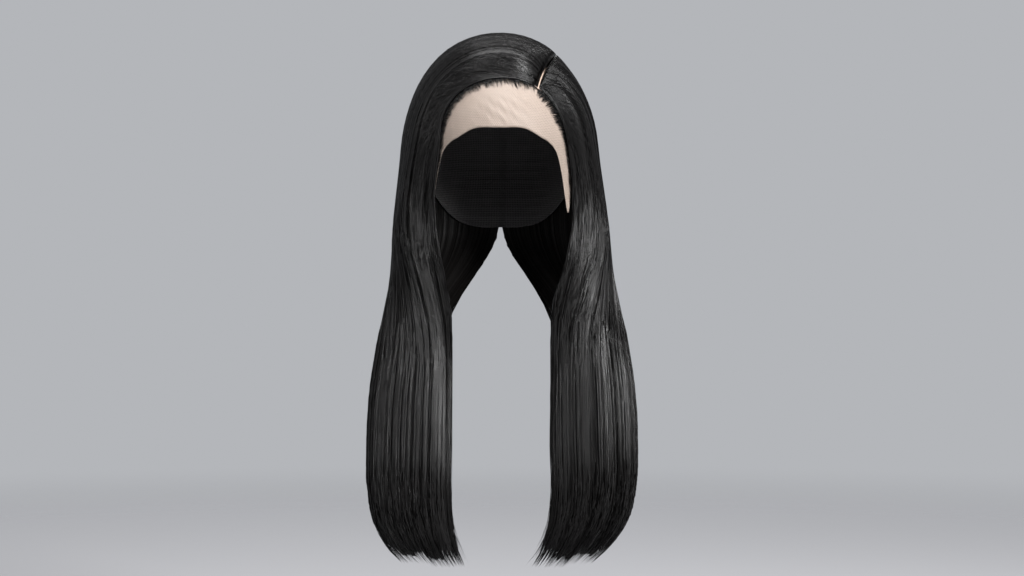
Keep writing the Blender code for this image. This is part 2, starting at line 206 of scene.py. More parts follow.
LEFT_FALL = table(
    "drop wall turn centre half_width middle half_depth front_edge back_edge",
    (0.00, 0.88, 54.7, 0.500, 0.350, -0.10, 0.52, 0.540, 0.360),
    (0.10, 1.18, 61.0, 0.500, 0.350, -0.10, 0.50, 0.540, 0.370),
    (0.18, 1.45, 60.0, 0.520, 0.355, -0.12, 0.46, 0.500, 0.380),
    (0.27, 1.50, 56.0, 0.550, 0.345, -0.17, 0.40, 0.440, 0.384),
    (0.36, 1.30, 50.0, 0.595, 0.317, -0.28, 0.31, 0.390, 0.400),
    (0.46, 1.17, 50.0, 0.670, 0.294, -0.41, 0.25, 0.384, 0.420),
    (0.59, 1.17, 50.0, 0.696, 0.322, -0.55, 0.21, 0.380, 0.410),
    (0.72, 1.17, 50.0, 0.702, 0.328, -0.66, 0.195, 0.380, 0.410),
    (0.82, 1.17, 50.0, 0.700, 0.312, -0.73, 0.185, 0.392, 0.410),
    (0.90, 1.10, 50.0, 0.650, 0.288, -0.75, 0.165, 0.372, 0.390),
    (0.96, 0.90, 50.0, 0.545, 0.248, -0.745, 0.130, 0.308, 0.330),
    (1.00, 0.60, 50.0, 0.440, 0.214, -0.73, 0.090, 0.236, 0.260),
)

# Where a place on the way round the form comes to lie on the way round its fall
GATHER = table(
    "form fall",
    (0.00, 0.00),
    (0.15, 0.25),
    (0.32, 0.48),
    (0.55, 0.70),
    (0.80, 0.87),
    (1.00, 1.00),
)

# The locks of one side, from the face round to the nape, each lock's share of the full length, and its
# share of the strands
LOCKS = (
    ("face", 0.00, 0.16, 1.00, 1.25),
    ("front", 0.16, 0.40, 0.99, 1.25),
    ("side", 0.40, 0.61, 0.97, 0.95),
    ("back", 0.61, 0.81, 0.98, 0.80),
    ("nape", 0.81, 1.00, 0.99, 0.75),
)

# The two sides: which way x goes, how the hair flows and falls, where the random values start, how many
# points each strand has over the form, and how many fine roots grow along the hairline
SIDES = {
    "right": {
        "sign": -1.0, "flow": RIGHT_FLOW, "fall": RIGHT_FALL,
        "seed": 11, "bends": 23, "roots": 1150,
    },
    "left": {
        "sign": 1.0, "flow": LEFT_FLOW, "fall": LEFT_FALL,
        "seed": 47, "bends": 13, "roots": 650,
    },
}

# Ridges of the hair's surface: how many there are round one side, and how high they stand in millimetres
RIDGES = table(
    "count height",
    (15, 0.50),
    (47, 0.34),
    (120, 0.26),
)
RIDGES_ON_FORM = 0.40

# The grid that the hair's faces are worked out on, and how its bend at the form's widest level is eased
GRID_ROUNDS = 181
GRID_STATIONS = 241
EASING_SPAN = 0.20
EASINGS = 90

# How many random values a wandering value goes through before it starts again
NOISE_VALUES = 1024

# The mass of hair under the strands, in shares of the way round and then of the way down. It stands back
# from the hairline over the brow, and ends before the strands do, most of all at the inner edges. Its two
# faces close over the last part, and it lies a little under the hair's face, less so at the roots.
RETREAT = 0.008
INNER_EDGE = 0.09
LOCK_GAP = 0.0003
MASS_SHORT = 0.022
MASS_SHORT_AT_EDGE = 0.22
MASS_CLOSING = 0.12
MASS_SUNK = 1.1 * MM
ROOTS_RAISED = 0.7 * MM

# Tresses round one side, and how many points the grids of the fine pieces have across and down
TRESSES = 70
CAP_POINTS = (80, 128)
LACE_POINTS = (160, 36)
PARTING_POINTS = (15, 90)
FLOOR_POINTS = (96, 4)

# The cap's inner face off the form, how far its outer face stays in so that the wefts can stand out, the
# height and width of its folded edge, and the thickness of the parting's lace
CAP_INSIDE = 0.45 * MM
CAP_WEFT_ROOM = 0.2 * MM
CAP_FOLD = 0.35 * MM
CAP_FOLD_WIDTH = 4 * MM
PARTING_LACE_WALL = 0.8 * MM

# The sides of a hexagon that belong to it, by the angles of their two corners
HEXAGON_SIDES = ((90, 30), (30, -30), (90, 150))

# The soft lights: where each stands, and its width and height. All of them face LIT_POINT.
LIGHTS = {
    "key": ((1.55, -1.65, 0.75), (0.7, 0.9)),
    "top": ((0.1, -0.95, 1.7), (1.8, 0.30)),
    "fill": ((-1.5, -1.7, 0.35), (0.6, 0.9)),
    "rear": ((-0.4, 1.9, 0.9), (1.8, 0.8)),
}
LIT_POINT = (0.0, 0.0, -0.25)
SKY_COLOUR = (0.80, 0.82, 0.86, 1.0)
LENS = 80.0
SENSOR_WIDTH = 36.0


def follow(figures, column, at):
    """A table's column as a smooth curve through its rows: cubic pieces with the neighbours' mean slope."""
    keys = next(iter(figures.values()))
    values = figures[column]
    slopes = np.gradient(values, keys)
    at = np.clip(np.asarray(at, float), keys[0], keys[-1])
    i = np.clip(np.searchsorted(keys, at, side="right") - 1, 0, len(keys) - 2)
    span = keys[i + 1] - keys[i]
    s = (at - keys[i]) / span
    return (
        values[i] * (1 + 2 * s) * (1 - s) ** 2
        + slopes[i] * span * s * (1 - s) ** 2
        + values[i + 1] * s**2 * (3 - 2 * s)
        - slopes[i + 1] * span * s**2 * (1 - s)
    )


def smooth(x):
    """0 below 0, 1 above 1, and an even S curve between."""
    x = np.clip(x, 0.0, 1.0)
    return x * x * (3 - 2 * x)


def unit(vectors):
    """Each vector divided by its length."""
    return vectors / np.maximum(np.linalg.norm(vectors, axis=-1, keepdims=True), 1e-12)


def walked(line):
    """The distance along a line of points, at each of them."""
    return np.concatenate([[0], np.cumsum(np.linalg.norm(np.diff(line, axis=0), axis=1))])


def noise(x, seed):
    """A wandering value between -1 and 1: seeded random values at the whole numbers, eased between them."""
    values = np.random.default_rng(seed).uniform(-1, 1, NOISE_VALUES)
    x = np.asarray(x, float)
    whole = np.floor(x).astype(int)
    eased = smooth(x - whole)
    return values[whole % NOISE_VALUES] * (1 - eased) + values[(whole + 1) % NOISE_VALUES] * eased


def direction(polar, turn):
    """The unit direction at a polar angle from the crown and a turn from the brow to the wearer's left."""
    polar, turn = np.broadcast_arrays(polar, turn)
    return np.stack([np.sin(polar) * np.sin(turn), -np.sin(polar) * np.cos(turn), np.cos(polar)], axis=-1)


def on_dome(way, lift):
    """The point of the form's upper half in that direction, lifted off it."""
    lift = np.asarray(lift, float)[..., None]
    reach = np.array([HALF_WIDTH, HALF_LENGTH, CROWN_HEIGHT]) + lift
    return way * reach - np.array([0.0, 0.0, CROWN_HEIGHT])


def tuck(drop):
    """How much narrower the back of the form is at a drop below its widest level."""
    return NAPE_TUCK * smooth(drop / NAPE_DEPTH)


def on_form(level, turn, lift):
    """A point of the form: the dome down to level 1, and the sides and nape down to level 2."""
    level, turn, lift = np.broadcast_arrays(level, turn, np.asarray(lift, float))
    point = on_dome(direction(np.minimum(level, 1.0) * math.pi / 2, turn), lift)
    drop = np.maximum(level - 1.0, 0.0) * NAPE_DEPTH
    behind = smooth(-np.cos(turn))
    point[..., 0] *= 1 - 0.5 * behind * tuck(drop) / HALF_LENGTH
    point[..., 1] *= 1 - behind * tuck(drop) / HALF_LENGTH
    point[..., 2] -= drop
    return point


def parting_way(along):
    """The direction of a place on the parting line."""
    side, back = follow(PARTING, "side", along), follow(PARTING, "back", along)
    return np.stack([side, back, np.sqrt(1 - side**2 - back**2)], axis=-1)


def parting_side(along):
    """The level direction across the parting line, towards the wearer's left."""
    step = 0.01
    ahead = parting_way(np.minimum(along + step, 1.0)) - parting_way(np.maximum(along - step, 0.0))
    across = np.stack([ahead[..., 1], -ahead[..., 0], 0 * ahead[..., 0]], axis=-1)
    return unit(across)


def edge_thinning(round_, back):
    """Share of the wall that is left near the front edge, and near the back edge by the share back."""
    front = THIN_EDGE + (1 - THIN_EDGE) * smooth(round_ / HAIRLINE_SPAN)
    rear = THIN_EDGE + (1 - THIN_EDGE) * smooth((1 - round_) / HAIRLINE_SPAN)
    return front * (1 - back + back * rear)


def turn_round_form(side, round_, drop):
    """The turn of a place round the form, from the front edge of the hair to the middle of the back."""
    first = np.radians(follow(SIDES[side]["fall"], "turn", drop))
    return first + (math.pi - first) * round_


def hair_in_fall(side, round_, drop, outside):
    """A point of the hair below the form's widest level. It follows the form down to the nape, and then
    gathers into the section that it falls in:
    hug * (point round the form) + (1 - hug) * (point of the section)."""
    fall = SIDES[side]["fall"]
    hug = 1 - smooth((drop - HUG_END) / (GATHER_END - HUG_END))
    wall = HAIR_WALL * follow(fall, "wall", drop)
    lift = HAIR_SEAT + wall * edge_thinning(round_, 0.0) * outside
    round_form = on_form(1 + drop * FALL_LENGTH / NAPE_DEPTH, turn_round_form(side, round_, drop), lift)

    centre = FALL_REACH * follow(fall, "centre", drop)
    width = FALL_REACH * follow(fall, "half_width", drop)
    middle = FALL_FORWARD * follow(fall, "middle", drop)
    depth = FALL_FORWARD * follow(fall, "half_depth", drop)
    first, last = (
        np.arcsin(np.clip((FALL_REACH * follow(fall, edge, drop) - centre) / width, -0.98, 0.98))
        for edge in ("front_edge", "back_edge")
    )
    gathered = follow(GATHER, "fall", round_)
    angle = first + (math.pi - last - first) * gathered
    thin = edge_thinning(gathered, 1.0) * (not outside)
    width = width - np.minimum(wall, width - CORE_HALF_WIDTH) * thin
    depth = depth - np.minimum(wall, depth - CORE_HALF_DEPTH) * thin
    level = -CROWN_HEIGHT - drop * FALL_LENGTH
    in_fall = np.stack([centre + width * np.sin(angle), middle - depth * np.cos(angle), level], axis=-1)
    return hug[..., None] * round_form + (1 - hug[..., None]) * in_fall


def parting_filled(side, round_):
    """How far the parting's furrow is filled: 0 over the brow, and 1 where hair covers it further back."""
    return smooth((follow(SIDES[side]["flow"], "root", round_) - FILLING_START) / FILLING_SPAN)


def hair_on_dome(side, round_, way, outside):
    """A point of the hair above the form's widest level: way 0 is the parting, and 1 the widest level. Near
    the parting both sides have the mean of their thicknesses. The path is
    (1 - way)^2 * begin + 2 * way * (1 - way) * bend + way^2 * end, brought to the form's surface."""
    sign = SIDES[side]["sign"]
    flow = SIDES[side]["flow"]
    mirror = np.array([sign, 1.0, 1.0])
    root = follow(flow, "root", round_)
    closed = smooth((root - CLOSING_START) / CLOSING_SPAN)
    half_part = PART_WIDTH * (1 - CLOSED_SHARE * closed) / 2
    aside = (sign * half_part / HALF_WIDTH)[..., None]
    begin = unit(parting_way(root) + parting_side(root) * aside) * mirror
    bend = direction(np.radians(follow(flow, "polar", round_)), np.radians(follow(flow, "turn", round_)))
    bend = bend * follow(flow, "pull", round_)[..., None]
    end = direction(math.pi / 2, turn_round_form(side, round_, 0.0))
    way = way[..., None]
    path = unit(begin * (1 - way) ** 2 + bend * 2 * way * (1 - way) + end * way**2)
    from_root = np.arccos(np.clip((path * begin).sum(-1), -1, 1)) * CROWN_HEIGHT
    raised = 1 - smooth(from_root / PARTING_LACE_WIDTH - 0.7)
    seat = HAIR_SEAT + PARTING_LIFT * raised
    level = np.arccos(np.clip(path[..., 2], 0, 1)) / (math.pi / 2)
    deep = SEAM_DEPTH + (FURROW_DEPTH - SEAM_DEPTH) * (1 - parting_filled(side, round_))
    furrow = 1 - deep * np.exp(-from_root / FURROW_REACH)
    mean = (follow(ROOF, "right", level) + follow(ROOF, "left", level)) / 2
    roof = follow(ROOF, side, level)
    roof = roof + (mean - roof) * np.exp(-from_root / ROOF_BLEND)
    wall = HAIR_WALL * roof * edge_thinning(round_, 0.0) * furrow
    return on_dome(path, seat + wall * outside) * mirror


def hair_face(side, round_, station, outside):
    """A point of the hair's outer or inner face."""
    mirror = np.array([SIDES[side]["sign"], 1.0, 1.0])
    upper = hair_on_dome(side, round_, np.clip(station, 0, 1), outside)
    lower = hair_in_fall(side, round_, np.clip(station - 1, 0, 1), outside) * mirror
    return np.where((station < 1)[..., None], upper, lower)


@functools.cache
def hair_grid(side, outside):
    """The hair's outer or inner face on a fine grid of stations by places round the side. Each point is
    eased along the hair to (before + 2 * here + after) / 4 many times, most at the form's widest level."""
    rounds = np.linspace(0, 1, GRID_ROUNDS)[None, :]
    stations = np.linspace(0, 2, GRID_STATIONS)[:, None]
    points = hair_face(side, *np.broadcast_arrays(rounds, stations), outside)
    bent = np.exp(-(((stations - 1) / EASING_SPAN) ** 2))[..., None]
    for _ in range(EASINGS):
        eased = (points[:-2] + 2 * points[1:-1] + points[2:]) / 4
        points[1:-1] += (eased - points[1:-1]) * bent[1:-1]
    return points


@functools.cache
def out_grid(side, outside):
    """The direction out of that face: the cross product of the ways down the hair and round the side."""
    points = hair_grid(side, outside)
    down, round_ = np.gradient(points, axis=0), np.gradient(points, axis=1)
    return unit(np.cross(down, round_)) * SIDES[side]["sign"]


def read_grid(grid, round_, station):
    """A grid's value between its points, in proportion to the distances."""
    x = np.clip(round_, 0, 1) * (GRID_ROUNDS - 1)
    y = np.clip(station / 2, 0, 1) * (GRID_STATIONS - 1)
    i = np.minimum(x.astype(int), GRID_ROUNDS - 2)
    j = np.minimum(y.astype(int), GRID_STATIONS - 2)
    s, t = (x - i)[..., None], (y - j)[..., None]
    upper = grid[j, i] * (1 - s) + grid[j, i + 1] * s
    lower = grid[j + 1, i] * (1 - s) + grid[j + 1, i + 1] * s
    return upper * (1 - t) + lower * t


def hair_lines(side, round_, station, depth=0.0):
    """Points in the hair and the ways out of it: (1 - depth) * (outer face) + depth * (inner face)."""
    round_, station, depth = np.broadcast_arrays(round_, station, np.asarray(depth, float))
    points = read_grid(hair_grid(side, True), round_, station)
    out = read_grid(out_grid(side, True), round_, station)
    if depth.any():
        inner = read_grid(hair_grid(side, False), round_, station)
        points = points + (inner - points) * depth[..., None]
    return points, unit(out)


def ridge_height(side, round_, station):
    """How far the hair's ridges stand out of its face, from -1 to 1 millimetre or so. Each set of ridges is
    a wandering value round the side that slowly gives way to another one down the hair."""
    seed = SIDES[side]["seed"]
    grown = RIDGES_ON_FORM + (1 - RIDGES_ON_FORM) * smooth((station - 0.45) / 0.95)
    total = 0.0
    for k, (count, height) in enumerate(zip(RIDGES["count"], RIDGES["height"])):
        phase = station * (0.9 + 0.5 * k)
        first = noise(round_ * count, seed + 3 * k)
        second = noise(round_ * count, seed + 3 * k + 1)
        total = total + height * (first * np.cos(phase) + second * np.sin(phase))
    return total * grown * MM


# Meshes


def new_piece(name, points, quads, triangles, finish, uv=None, tint=None):
    """A smooth shaded mesh object that rides on the wig's body."""
    mesh = bpy.data.meshes.new(name)
    quads = np.asarray(quads, np.int32).reshape(-1, 4)
    triangles = np.asarray(triangles, np.int32).reshape(-1, 3)
    corners = np.concatenate([quads.ravel(), triangles.ravel()])
    starts = np.concatenate([np.arange(len(quads)) * 4, len(quads) * 4 + np.arange(len(triangles)) * 3])
    mesh.vertices.add(len(points))
    mesh.vertices.foreach_set("co", np.asarray(points, np.float32).ravel())
    mesh.loops.add(len(corners))
    mesh.loops.foreach_set("vertex_index", corners)
    mesh.polygons.add(len(starts))
    mesh.polygons.foreach_set("loop_start", starts.astype(np.int32))
    mesh.update(calc_edges=True)
    if uv is not None:
        layer = mesh.uv_layers.new(name="UVMap")
        layer.data.foreach_set("uv", np.asarray(uv, np.float32)[corners].ravel())
    if tint is not None:
        own = mesh.attributes.new("tint", "FLOAT", "POINT")
        own.data.foreach_set("value", np.asarray(tint, np.float32))
    mesh.shade_smooth()
    mesh.materials.append(finish)
    piece = bpy.data.objects.new(name, mesh)
    bpy.context.scene.collection.objects.link(piece)
    if mesh.validate():
        raise RuntimeError(f"{name} has faulty faces")
    return piece


def ring_quads(grid):
    """The quads between the rows of a grid whose last column meets its first."""
    after = np.roll(grid, -1, axis=1)
    return np.stack([grid[:-1], grid[1:], after[1:], after[:-1]], axis=-1).reshape(-1, 4)


def slab(outer, inner, turned):
    """Points and quads of the closed solid between an outer and an inner grid of the same shape."""
    rows, columns = outer.shape[:2]
    count = rows * columns
    grid = np.arange(count).reshape(rows, columns)
    face = np.stack([grid[:-1, :-1], grid[:-1, 1:], grid[1:, 1:], grid[1:, :-1]], axis=-1).reshape(-1, 4)
    rim = np.concatenate([grid[0, :], grid[1:, -1], grid[-1, -2::-1], grid[-2:0:-1, 0]])
    after = np.roll(rim, -1)
    wall = np.stack([after, rim, rim + count, after + count], axis=-1)
    quads = np.concatenate([face, face[:, ::-1] + count, wall])
    if turned:
        quads = quads[:, ::-1]
    return np.concatenate([outer.reshape(-1, 3), inner.reshape(-1, 3)]), quads


def strand_mesh(name, lines, out, width, height, tint, finish):
    """Closed three-sided strands. At each point of a line stand a ridge, height out of it, and two feet,
    half the width to either side. Both ends close in a point. width and height are one value a point."""
    count, steps = lines.shape[:2]
    along = unit(np.gradient(lines, axis=1))
    out = unit(out - along * (out * along).sum(-1, keepdims=True))
    sideways = np.cross(along, out) * (width / 2)[..., None]
    ridge = lines + out * height[..., None]
    ring = np.stack([ridge, lines - sideways, lines + sideways], axis=2)[:, 1:-1]
    inner = (steps - 2) * 3
    each = inner + 2
    points = np.concatenate([ring.reshape(count, inner, 3), lines[:, :1], lines[:, -1:]], axis=1)
    across = np.tile(np.array([0.5, 0.0, 1.0]), steps - 2)
    share = np.repeat(np.linspace(0, 1, steps)[1:-1], 3)
    uv = np.stack([np.concatenate([across, [0.5, 0.5]]), np.concatenate([share, [0.0, 1.0]])], axis=-1)

    step = np.arange(steps - 3)[:, None] * 3
    corner = np.arange(3)[None, :]
    following = (corner + 1) % 3
    quads = np.stack([step + corner, step + 3 + corner, step + 3 + following, step + following], axis=-1)
    corner, following = corner.ravel(), following.ravel()
    last = (steps - 3) * 3
    first_end = np.stack([np.full(3, inner), corner, following], axis=-1)
    last_end = np.stack([last + corner, np.full(3, inner + 1), last + following], axis=-1)
    shift = (np.arange(count) * each)[:, None, None]
    quads = quads.reshape(1, -1, 4) + shift
    ends = np.concatenate([first_end, last_end])[None] + shift
    uv, tint = np.tile(uv, (count, 1)), np.repeat(tint, each)
    return new_piece(name, points.reshape(-1, 3), quads, ends, finish, uv, tint)


def tapered(share, width, root, tip):
    """Width of each strand by share of its length: it grows over the share root, and ends in a fine tip."""
    grown = 0.35 + 0.65 * smooth(share / root)
    return width[:, None] * grown * (1 - 0.72 * smooth((share - 1 + tip) / tip))


# Materials


def nodes_of(name):
    """A new material, its node tree and its Principled shader."""
    made = bpy.data.materials.new(name)
    made.use_nodes = True
    tree = made.node_tree
    return made, tree, tree.nodes["Principled BSDF"]


def linked(tree, kind, inputs=(), **settings):
    """A new node with its settings, its unlinked inputs' values and its links made."""
    node = tree.nodes.new(kind)
    for key, value in settings.items():
        setattr(node, key, value)
    for socket, value in inputs:
        if isinstance(value, bpy.types.NodeSocket):
            tree.links.new(value, node.inputs[socket])
        else:
            node.inputs[socket].default_value = value
    return node


def colour_by(tree, shader, share, first, second):
    """Colours the shader with (1 - share) * first + share * second."""
    mix = tree.nodes.new("ShaderNodeMix")
    mix.data_type = "RGBA"
    tree.links.new(share, mix.inputs[0])
    mix.inputs[6].default_value = (*first, 1.0)
    mix.inputs[7].default_value = (*second, 1.0)
    tree.links.new(mix.outputs[2], shader.inputs["Base Color"])


def relief_by(tree, shader, height, strength, distance):
    """Gives the shader a relief: height times distance."""
    inputs = [("Height", height), ("Strength", strength), ("Distance", distance)]
    tree.links.new(linked(tree, "ShaderNodeBump", inputs).outputs[0], shader.inputs["Normal"])


def spread(tree, value, before, after, **settings):
    """The value, taken from the range before to the range after, and kept within it."""
    ends = [("From Min", before[0]), ("From Max", before[1]), ("To Min", after[0]), ("To Max", after[1])]
    return linked(tree, "ShaderNodeMapRange", [("Value", value), *ends], **settings).outputs[0]


def clouds(tree, place, scale, detail, **settings):
    """Soft noise at that place."""
    inputs = [("Vector", place), ("Scale", scale), ("Detail", detail)]
    return linked(tree, "ShaderNodeTexNoise", inputs, **settings).outputs["Fac"]


def reckon(tree, operation, *values):
    """The result of one step of arithmetic on those values."""
    return linked(tree, "ShaderNodeMath", list(enumerate(values)), operation=operation).outputs[0]


def strand_finish(colours):
    """Single strands: black hair with a satin sheen, each strand a little lighter or darker by its tint."""
    made, tree, shader = nodes_of("hair_strands")
    own = linked(tree, "ShaderNodeAttribute", attribute_name="tint", attribute_type="GEOMETRY")
    tint = own.outputs["Fac"]
    colour_by(tree, shader, tint, colours.hair_deep, colours.hair_light)
    tree.links.new(spread(tree, tint, (0.0, 1.0), (0.02, 0.46)), shader.inputs["Specular IOR Level"])
    shader.inputs["Roughness"].default_value = colours.strand_roughness
    return made


def lock_finish(colours):
    """The mass of hair under the strands: streaks in colour and relief that run with the hair."""
    made, tree, shader = nodes_of("hair_mass")
    place = linked(tree, "ShaderNodeUVMap", uv_map="UVMap").outputs["UV"]
    fine = linked(tree, "ShaderNodeMapping", [("Vector", place), ("Scale", (900.0, 12.0, 1.0))])
    broad = linked(tree, "ShaderNodeMapping", [("Vector", place), ("Scale", (220.0, 4.0, 1.0))])
    hairs = clouds(tree, fine.outputs[0], 1.0, 2.0, noise_dimensions="2D")
    bands = clouds(tree, broad.outputs[0], 1.0, 2.0, noise_dimensions="2D")
    colour_by(tree, shader, bands, colours.hair_deep, colours.hair_light)
    relief_by(tree, shader, hairs, 0.6, 0.5 * MM)
    tangent = linked(tree, "ShaderNodeTangent", direction_type="UV_MAP", uv_map="UVMap")
    tree.links.new(tangent.outputs[0], shader.inputs["Tangent"])
    tree.links.new(spread(tree, bands, (0.3, 0.7), (0.03, 0.40)), shader.inputs["Specular IOR Level"])
    shader.inputs["Anisotropic"].default_value = 0.6
    shader.inputs["Roughness"].default_value = 0.28
    return made


def cap_finish(colours):
    """Stretch net: fine open cells in a matte black yarn."""
    made, tree, shader = nodes_of("cap_stretch_net")
    place = linked(tree, "ShaderNodeUVMap", uv_map="UVMap").outputs["UV"]
    cells = linked(
        tree,
        "ShaderNodeTexVoronoi",
        [("Vector", place), ("Scale", 550.0), ("Randomness", 0.15)],
        feature="DISTANCE_TO_EDGE",
        voronoi_dimensions="2D",
    )
    yarn = spread(tree, cells.outputs["Distance"], (0.05, 0.22), (1.0, 0.0))
    colour_by(tree, shader, yarn, colours.cap_deep, colours.cap_yarn)
    relief_by(tree, shader, yarn, 0.7, 0.4 * MM)
    shader.inputs["Roughness"].default_value = 0.75
    return made


def lace_finish(colours):
    """Sheer lace: a skin-toned film that lets part of the light through."""
    made, tree, shader = nodes_of("lace_sheer")
    place = linked(tree, "ShaderNodeTexCoord").outputs["Object"]
    colour_by(tree, shader, clouds(tree, place, 45.0, 3.0), colours.lace_shade, colours.lace_skin)
    weave = linked(
        tree,
        "ShaderNodeTexVoronoi",
        [("Vector", place), ("Scale", 900.0)],
        feature="DISTANCE_TO_EDGE",
    )
    relief_by(tree, shader, weave.outputs["Distance"], 0.35, 0.2 * MM)
    shader.inputs["Roughness"].default_value = 0.6
    shader.inputs["Alpha"].default_value = colours.lace_cover
    return made


def yarn_finish(colours):
    """The lace's own threads: skin-toned, a little glossy."""
    made, tree, shader = nodes_of("lace_yarn")
    place = linked(tree, "ShaderNodeTexCoord").outputs["Object"]
    colour_by(tree, shader, clouds(tree, place, 120.0, 2.0), colours.lace_skin, colours.lace_thread)
    shader.inputs["Roughness"].default_value = 0.45
    return made


def parting_finish(colours):
    """Lace in the parting: skin tone along the middle, browned to either side, partly for the dark roots
    and partly as painted shade of the hair that stands over the strip's edges.
    """
    made, tree, shader = nodes_of("parting_lace_skin")
    place = linked(tree, "ShaderNodeUVMap", uv_map="UVMap").outputs["UV"]
    across = linked(tree, "ShaderNodeSeparateXYZ", [("Vector", place)]).outputs["X"]
    aside = reckon(tree, "ABSOLUTE", reckon(tree, "SUBTRACT", across, 0.5))
    wander = reckon(tree, "MULTIPLY", clouds(tree, place, 60.0, 2.0), 0.08)
    # Brown towards the strip's edges: the dark roots, and painted shade where the hair stands over the lace
    roots_and_shade_share = spread(tree, reckon(tree, "ADD", aside, wander), (0.09, 0.24), (0.0, 1.0))
    colour_by(tree, shader, roots_and_shade_share, colours.parting_skin, colours.roots_and_shade_brown)
    shader.inputs["Roughness"].default_value = 0.55
    return made


def floor_finish(colour, reach):
    """A plain matte floor that fades into the pale surroundings: it covers all as far as 0.35 of its reach,
    and nothing at its rim."""
    made, tree, shader = nodes_of("stage_floor")
    place = linked(tree, "ShaderNodeTexCoord").outputs["Object"]
    away = linked(tree, "ShaderNodeVectorMath", [(0, place)], operation="LENGTH").outputs["Value"]
    rim = (0.35 * reach, 0.98 * reach)
    cover = spread(tree, away, rim, (1.0, 0.0), interpolation_type="SMOOTHSTEP")
    tree.links.new(cover, shader.inputs["Alpha"])
    shader.inputs["Base Color"].default_value = (*colour, 1.0)
    shader.inputs["Roughness"].default_value = 0.9
    shader.inputs["Specular IOR Level"].default_value = 0.1
    return made


def kept(name, maker, colours):
    """The material of that name, made once."""
    return bpy.data.materials.get(name) or maker(colours)


# Values that a user would change


class WigSizes(bpy.types.PropertyGroup):
    """Sizes of the fine pieces."""

    strands: IntProperty(name="Strands", description="Strands on an average lock", default=350, min=20)
    strand_width: FloatProperty(
        name="Strand width", description="Width of a strand at its widest",
        default=1.00 * MM, subtype="DISTANCE",
    )
    strand_height: FloatProperty(
        name="Strand height", description="How far a strand's ridge stands up",
        default=0.40 * MM, subtype="DISTANCE",
    )
    hem_scatter: FloatProperty(
        name="Hem scatter", description="How unevenly the strands end",
        default=21 * MM, subtype="DISTANCE",
    )
    loose_ends: IntProperty(name="Loose ends", description="Loose strands on a side", default=70, min=4)
    fringe: FloatProperty(
        name="Fringe", description="How far roots grow in front of the hair",
        default=10 * MM, subtype="DISTANCE",
    )
    lace_wall: FloatProperty(
        name="Lace thickness", description="Thickness of the sheer lace",
        default=0.25 * MM, subtype="DISTANCE",
    )
    wrinkle: FloatProperty(
        name="Lace wrinkle", description="Height of the lace's soft wrinkles",
        default=1.0 * MM, subtype="DISTANCE",
    )
    net_pitch: FloatProperty(
        name="Net pitch", description="Distance between the lace's cells",
        default=1.8 * MM, subtype="DISTANCE",
    )
    net_thread: FloatProperty(
        name="Net thread", description="Thickness of the lace's thread",
        default=0.22 * MM, subtype="DISTANCE",
    )
    weft_pitch: FloatProperty(
        name="Weft pitch", description="Distance between the rows of wefts",
        default=9 * MM, subtype="DISTANCE",
    )
    weft_height: FloatProperty(
        name="Weft height", description="How far a weft's seam stands out",
        default=0.55 * MM, subtype="DISTANCE",
    )


class WigColours(bpy.types.PropertyGroup):
    """Colours and gloss of the wig."""

    hair_deep: FloatVectorProperty(
        name="Deep hair", description="Darkest strands",
        default=(0.0012, 0.0011, 0.0011), subtype="COLOR",
    )
    hair_light: FloatVectorProperty(
        name="Light hair", description="Lightest strands",
        default=(0.0055, 0.0049, 0.0047), subtype="COLOR",
    )
    # Brown of the parting's edges: the dark roots, and painted shade of the hair that stands over the lace
    roots_and_shade_brown: FloatVectorProperty(
        name="Root brown", description="Lace that the roots darken",
        default=(0.035, 0.018, 0.012), subtype="COLOR",
    )
    parting_skin: FloatVectorProperty(
        name="Parting", description="Lace in the parting", default=(0.31, 0.23, 0.18), subtype="COLOR"
    )
    lace_skin: FloatVectorProperty(
        name="Lace", description="Sheer lace", default=(0.335, 0.276, 0.233), subtype="COLOR"
    )
    lace_shade: FloatVectorProperty(
        name="Lace shade", description="Darker cloudings of the lace",
        default=(0.25, 0.195, 0.161), subtype="COLOR",
    )
    lace_thread: FloatVectorProperty(
        name="Lace thread", description="The lace's threads",
        default=(0.40, 0.333, 0.286), subtype="COLOR",
    )
    cap_deep: FloatVectorProperty(
        name="Cap", description="Between the cap's yarns",
        default=(0.004, 0.004, 0.004), subtype="COLOR",
    )
    cap_yarn: FloatVectorProperty(
        name="Cap yarn", description="The cap's yarns", default=(0.07, 0.065, 0.065), subtype="COLOR"
    )
    lace_cover: FloatProperty(
        name="Lace cover", description="How much the lace hides",
        default=0.62, min=0.0, max=1.0, subtype="FACTOR",
    )
    strand_roughness: FloatProperty(
        name="Strand roughness", description="Sheen of a strand",
        default=0.27, min=0.0, max=1.0, subtype="FACTOR",
    )


class WigStage(bpy.types.PropertyGroup):
    """Floor, camera and lights."""

    floor_drop: FloatProperty(
        name="Floor drop", description="How far the floor is below the crown",
        default=0.62, subtype="DISTANCE",
    )
    floor_reach: FloatProperty(
        name="Floor reach", description="From the middle of the floor to its rim",
        default=3.0, subtype="DISTANCE",
    )
    floor_colour: FloatVectorProperty(
        name="Floor", description="Colour of the floor", default=(0.275, 0.275, 0.285), subtype="COLOR"
    )
    camera_distance: FloatProperty(
        name="Camera distance", description="From the crown to the camera",
        default=2.2, subtype="DISTANCE",
    )
    camera_side: FloatProperty(
        name="Camera side", description="How far the camera stands to the left",
        default=11.6 * MM, subtype="DISTANCE",
    )
    camera_drop: FloatProperty(
        name="Camera drop", description="How far the camera is below the crown",
        default=230.7 * MM, subtype="DISTANCE",
    )
    key_power: FloatProperty(
        name="Key light", description="Power of the key light", default=96.0, subtype="POWER"
    )
    top_power: FloatProperty(
        name="Top light", description="Power of the top light", default=92.0, subtype="POWER"
    )
    fill_power: FloatProperty(
        name="Fill light", description="Power of the fill light", default=6.0, subtype="POWER"
    )
    rear_power: FloatProperty(
        name="Rear light", description="Power of the rear light", default=18.0, subtype="POWER"
    )
    sky: FloatProperty(name="Sky", description="Strength of the light all round", default=0.57)


# Pieces


